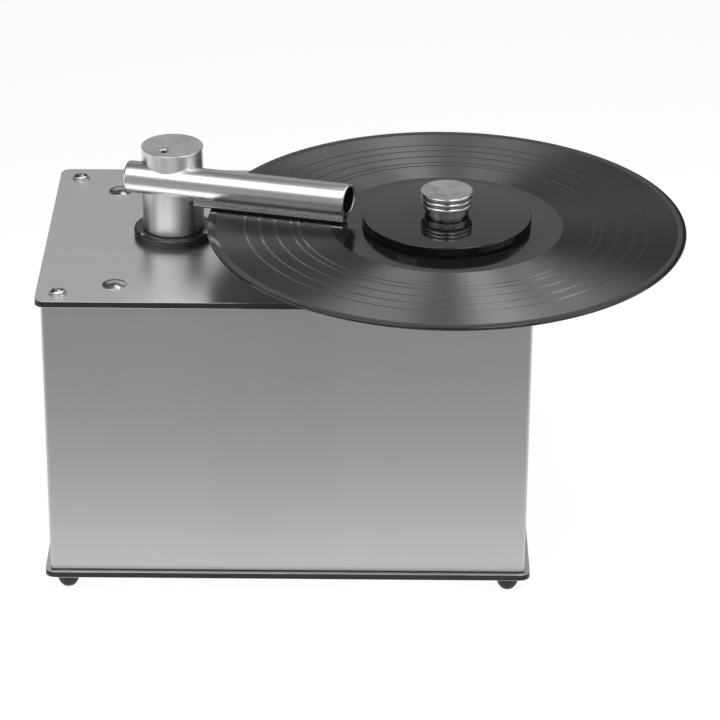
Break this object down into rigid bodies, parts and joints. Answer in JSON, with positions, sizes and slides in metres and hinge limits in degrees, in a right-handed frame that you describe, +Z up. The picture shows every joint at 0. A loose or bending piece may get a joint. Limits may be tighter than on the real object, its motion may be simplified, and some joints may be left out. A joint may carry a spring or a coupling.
{
  "type": "record cleaning machine",
  "caption": "Box-shaped vacuum record cleaning machine with a driven platter, a screw clamp holding a disc record, and a lifting, swinging suction arm.",
  "frame": {"origin": "centre of the bounding box on the plane that the feet stand on", "axes": "+X from the arm towards the spindle, +Y from the plain front to the rear panel, +Z up"},
  "size_m": [0.406, 0.3246, 0.2691],
  "materials": {
    "panel_sheet": "brushed left to right, with a dark core at the edges",
    "case_sheet": "fine-grained silver",
    "gasket_rubber": "matt black",
    "bright_steel": "polished",
    "black_screw": "black oxide",
    "plain_aluminium": "plain machined",
    "tank_plastic": "natural, slightly cloudy",
    "hose_rubber": "matt black",
    "black_anodised": "satin black anodised",
    "bearing_brass": "machined",
    "turned_aluminium": "fine turned, bright",
    "satin_aluminium": "satin polished tube",
    "screw_steel": "plain",
    "lip_aluminium": "milled",
    "black_plastic": "fine texture",
    "velvet": "short black pile",
    "platter_black": "satin black",
    "vinyl": "grooved, glossy",
    "label_paper": "plain printed paper",
    "clamp_black": "polished black",
    "knob_metal": "turned and polished",
    "gear_case": "zinc grey",
    "copper_winding": "enamelled copper",
    "rotor_steel": "laminated steel",
    "rocker_plastic": "smooth black",
    "wire_black": "PVC sleeve"
  },
  "bodies": {
    "case": {"top_panel": "panel_sheet", "base_panel": "panel_sheet", "front_shell": "case_sheet", "foot_gasket": "gasket_rubber", "rear_panel": "case_sheet", "rear_screws": "black_screw", "corner_posts": "plain_aluminium", "corner_screws": "bright_steel", "feet": "gasket_rubber", "foot_screws": "bright_steel", "hanger_bolts": "bright_steel", "hanger_nuts": "bright_steel", "waste_tank": "tank_plastic", "tank_lid": "tank_plastic", "lid_gasket": "gasket_rubber", "lid_seal": "gasket_rubber", "suction_hose": "hose_rubber", "arm_flange": "black_anodised", "deck_screws": "bright_steel", "guide_sleeve": "bearing_brass", "sleeve_nut": "bearing_brass", "lift_spring": "bright_steel", "bearing_bush": "bearing_brass", "motor_bracket": "plain_aluminium", "gearbox_housing": "gear_case", "motor_can": "gear_case", "motor_stator": "copper_winding", "fan_mount": "gasket_rubber", "fan_frame": "gear_case", "fan_housing": "plain_aluminium", "switch_bodies": "black_plastic", "mains_inlet": "black_plastic", "inlet_pins": "bright_steel", "drain_tap": "bearing_brass", "wiring_loom": "wire_black"},
    "arm_lifter": {"thrust_washer": "bright_steel"},
    "suction_arm": {"suction_post": "plain_aluminium", "arm_column": "turned_aluminium", "column_screw": "screw_steel", "wand_tube": "satin_aluminium", "wand_plug": "satin_aluminium", "tip_plug": "black_plastic", "suction_lip": "lip_aluminium", "velvet_strips": "velvet"},
    "turntable": {"spindle": "bright_steel", "platter": "platter_black", "platter_mat": "gasket_rubber", "record": "vinyl", "record_label": "label_paper", "output_gear": "bearing_brass"},
    "clamp": {"clamp_disc": "clamp_black", "clamp_seal": "gasket_rubber"},
    "knob": {"clamp_knob": "knob_metal"},
    "motor_armature": {"motor_rotor": "rotor_steel"},
    "reduction_gear": {"idler_gear": "bearing_brass"},
    "fan_rotor": {"fan_armature": "rotor_steel", "fan_impeller": "plain_aluminium"},
    "motor_switch": {"motor_rocker": "rocker_plastic"},
    "vacuum_switch": {"vacuum_rocker": "rocker_plastic"},
    "drain_lever": {"tap_plug": "black_plastic"}
  },
  "joints": [
    {"name": "platter_spin", "type": "hinge", "parent": "case", "child": "turntable", "pos_m": [0.05215, -0.01155, 0.2], "axis": [0, 0, 1], "continuous": true},
    {"name": "idler_spin", "type": "hinge", "parent": "case", "child": "reduction_gear", "pos_m": [0.06469, -0.00655, 0.17], "axis": [0, 0, 1], "continuous": true},
    {"name": "rotor_spin", "type": "hinge", "parent": "case", "child": "motor_armature", "pos_m": [0.05215, -0.00155, 0.14], "axis": [0, 0, 1], "continuous": true},
    {"name": "fan_spin", "type": "hinge", "parent": "case", "child": "fan_rotor", "pos_m": [-0.01095, 0.06305, 0.06], "axis": [0, 0, 1], "continuous": true},
    {"name": "arm_lift", "type": "slide", "parent": "case", "child": "arm_lifter", "axis": [0, 0, 1], "range_m": [-0.0002, 0.012], "stiffness_N_per_m": 500, "springref_m": 0.0037, "deforming": ["lift_spring"]},
    {"name": "arm_swing", "type": "hinge", "parent": "arm_lifter", "child": "suction_arm", "pos_m": [-0.12205, 0.0297, 0.2278], "axis": [0, 0, 1], "range_deg": [-60, 100]},
    {"name": "clamp_lift", "type": "slide", "parent": "turntable", "child": "clamp", "axis": [0, 0, 1], "range_m": [0, 0.009]},
    {"name": "knob_turn", "type": "hinge", "parent": "clamp", "child": "knob", "pos_m": [0.05215, -0.01155, 0.2468], "axis": [0, 0, 1], "range_deg": [0, 1620]},
    {"name": "motor_rocker_tilt", "type": "hinge", "parent": "case", "child": "motor_switch", "pos_m": [-0.19445, -0.02795, 0.17], "axis": [0, 1, 0], "range_deg": [-9, 9]},
    {"name": "vacuum_rocker_tilt", "type": "hinge", "parent": "case", "child": "vacuum_switch", "pos_m": [-0.19445, 0.00005, 0.17], "axis": [0, 1, 0], "range_deg": [-18, 0]},
    {"name": "drain_tap_turn", "type": "hinge", "parent": "case", "child": "drain_lever", "pos_m": [-0.11195, 0.14185, 0.052], "axis": [0, 0, 1], "range_deg": [0, 90]}
  ],
  "couplings": [
    {"joint": "idler_spin", "follows": "platter_spin", "ratio": -3.5},
    {"joint": "rotor_spin", "follows": "platter_spin", "ratio": 12.25},
    {"joint": "knob_turn", "follows": "clamp_lift", "rad_per_m": 3141.6}
  ]
}
